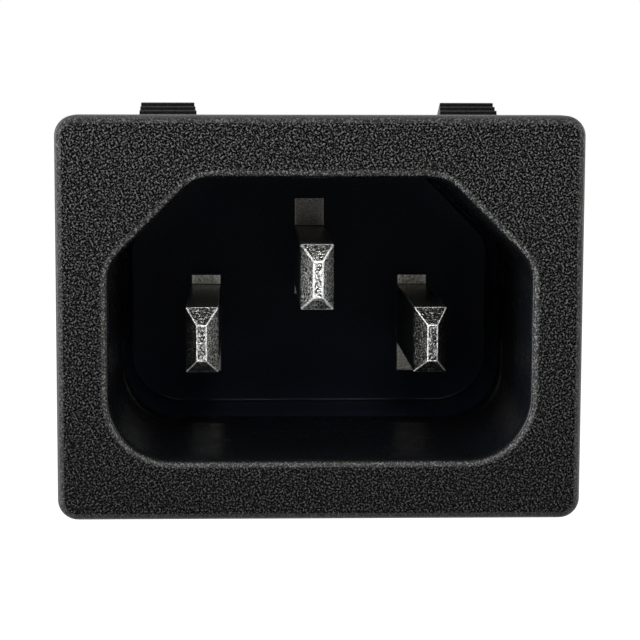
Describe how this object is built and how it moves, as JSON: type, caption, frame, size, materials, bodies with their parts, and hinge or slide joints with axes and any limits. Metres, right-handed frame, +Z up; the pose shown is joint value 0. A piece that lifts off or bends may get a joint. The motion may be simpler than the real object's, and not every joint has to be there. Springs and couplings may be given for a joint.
{
  "type": "c14 panel inlet socket",
  "caption": "Snap-in appliance inlet: rectangular flange round a keyed recess with bevelled pins, toothed snap latches on top and quick-connect tabs behind.",
  "frame": {"origin": "centre of the panel cut-out, in the plane of the flange's back face, which lies against the panel", "axes": "+X to the right seen from the front, +Y rearward through the panel, +Z up, towards the keying chamfers and the snap latches"},
  "size_m": [0.0308, 0.0294, 0.0244],
  "materials": {
    "black_moulding": "black thermoplastic: coarse spark-eroded grain on the flange's front, smooth everywhere else",
    "nickel_plate": "nickel-plated brass, satin with stamping marks on the bevels"
  },
  "bodies": {
    "root": {"housing": "black_moulding", "line_terminal": "nickel_plate", "neutral_terminal": "nickel_plate", "earth_terminal": "nickel_plate"}
  },
  "joints": []
}
